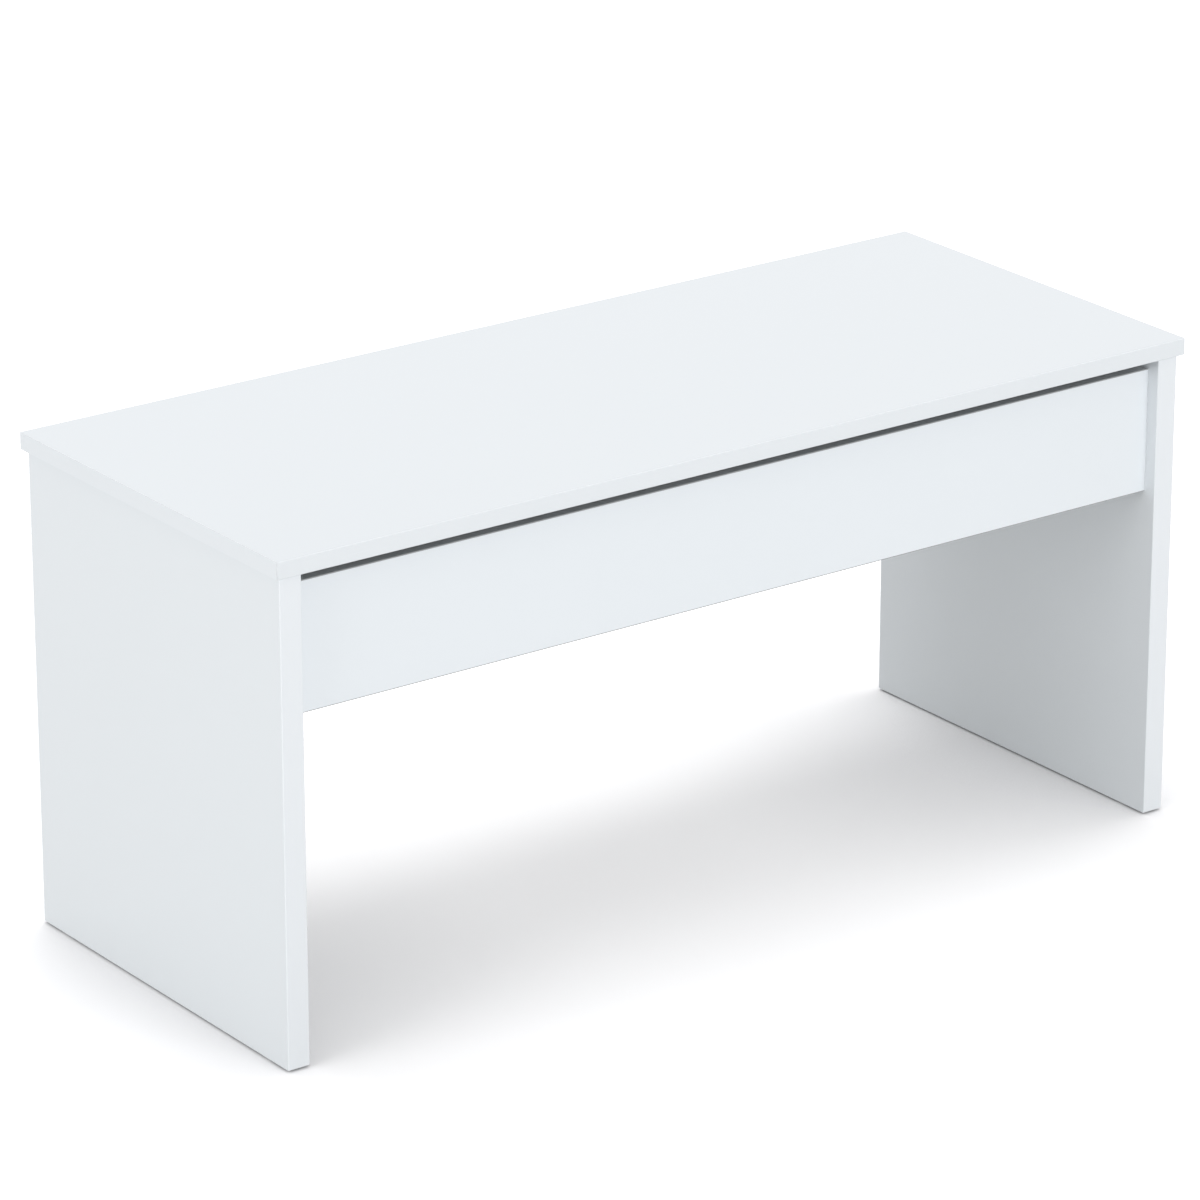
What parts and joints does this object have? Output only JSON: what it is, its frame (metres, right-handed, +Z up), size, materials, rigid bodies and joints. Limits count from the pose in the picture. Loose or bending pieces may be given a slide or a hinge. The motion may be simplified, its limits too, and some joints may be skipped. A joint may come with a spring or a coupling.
{
  "type": "lift top coffee table",
  "caption": "White gloss coffee table on two side panels; its lid lifts up and forward on spring-assisted parallel arms over a storage box.",
  "frame": {"origin": "on the floor under the middle of the closed table", "axes": "+X to the right along the long side, +Y from the front to the back, +Z up"},
  "size_m": [1, 0.41, 0.47],
  "materials": {
    "lacquered_board": "white lacquered fibreboard, high gloss",
    "board_edging": "white gloss edging strip",
    "glide_plastic": "white satin moulded plastic",
    "beech": "plain beech, fluted",
    "zinc_plate": "zinc-plated steel sheet",
    "zinc_steel": "bright zinc-plated steel",
    "zinc_casting": "zinc die casting, satin",
    "nylon": "natural nylon",
    "stop_rubber": "black rubber",
    "spring_steel": "oiled spring wire"
  },
  "bodies": {
    "cabinet": {"left_side_panel": "lacquered_board", "right_side_panel": "lacquered_board", "left_side_edging": "board_edging", "right_side_edging": "board_edging", "front_apron": "lacquered_board", "rear_apron": "lacquered_board", "front_apron_edging": "board_edging", "rear_apron_edging": "board_edging", "bottom_board": "lacquered_board", "floor_glides": "glide_plastic", "wooden_dowels": "beech", "cam_bolts": "zinc_steel", "cam_locks": "zinc_casting", "cam_caps": "glide_plastic", "left_base_plate": "zinc_plate", "right_base_plate": "zinc_plate", "left_base_pivots": "zinc_steel", "right_base_pivots": "zinc_steel", "left_base_washers": "nylon", "right_base_washers": "nylon", "left_stop_studs": "zinc_steel", "right_stop_studs": "zinc_steel", "left_stop_sleeves": "stop_rubber", "right_stop_sleeves": "stop_rubber", "left_spring_anchor": "zinc_steel", "right_spring_anchor": "zinc_steel", "left_spring": "spring_steel", "right_spring": "spring_steel", "base_plate_screws": "zinc_steel"},
    "left_front_arm": {"left_front_arm": "zinc_plate", "left_spring_lug": "zinc_steel"},
    "right_front_arm": {"right_front_arm": "zinc_plate", "right_spring_lug": "zinc_steel"},
    "left_rear_arm": {"left_rear_arm": "zinc_plate"},
    "right_rear_arm": {"right_rear_arm": "zinc_plate"},
    "lid": {"lid_board": "lacquered_board", "lid_edging": "board_edging", "left_lid_bracket": "zinc_plate", "right_lid_bracket": "zinc_plate", "left_lid_pivots": "zinc_steel", "right_lid_pivots": "zinc_steel", "left_lid_washers": "nylon", "right_lid_washers": "nylon", "lid_bracket_screws": "zinc_steel"}
  },
  "joints": [
    {"name": "lift", "type": "hinge", "parent": "cabinet", "child": "left_front_arm", "pos_m": [-0.468, -0.106, 0.384], "axis": [1, 0, 0], "range_deg": [0, 112], "deforming": ["left_spring", "right_spring"]},
    {"name": "left_rear_arm_pivot", "type": "hinge", "parent": "cabinet", "child": "left_rear_arm", "pos_m": [-0.468, -0.04962, 0.36348], "axis": [1, 0, 0], "range_deg": [0, 112]},
    {"name": "right_front_arm_pivot", "type": "hinge", "parent": "cabinet", "child": "right_front_arm", "pos_m": [0.468, -0.106, 0.384], "axis": [1, 0, 0], "range_deg": [0, 112]},
    {"name": "right_rear_arm_pivot", "type": "hinge", "parent": "cabinet", "child": "right_rear_arm", "pos_m": [0.468, -0.04962, 0.36348], "axis": [1, 0, 0], "range_deg": [0, 112]},
    {"name": "lid_pivot", "type": "hinge", "parent": "left_front_arm", "child": "lid", "pos_m": [-0.468, 0.06235, 0.40766], "axis": [1, 0, 0], "range_deg": [-112, 0]}
  ],
  "couplings": [
    {"joint": "left_rear_arm_pivot", "follows": "lift", "ratio": 1},
    {"joint": "right_front_arm_pivot", "follows": "lift", "ratio": 1},
    {"joint": "right_rear_arm_pivot", "follows": "lift", "ratio": 1},
    {"joint": "lid_pivot", "follows": "lift", "ratio": -1}
  ]
}
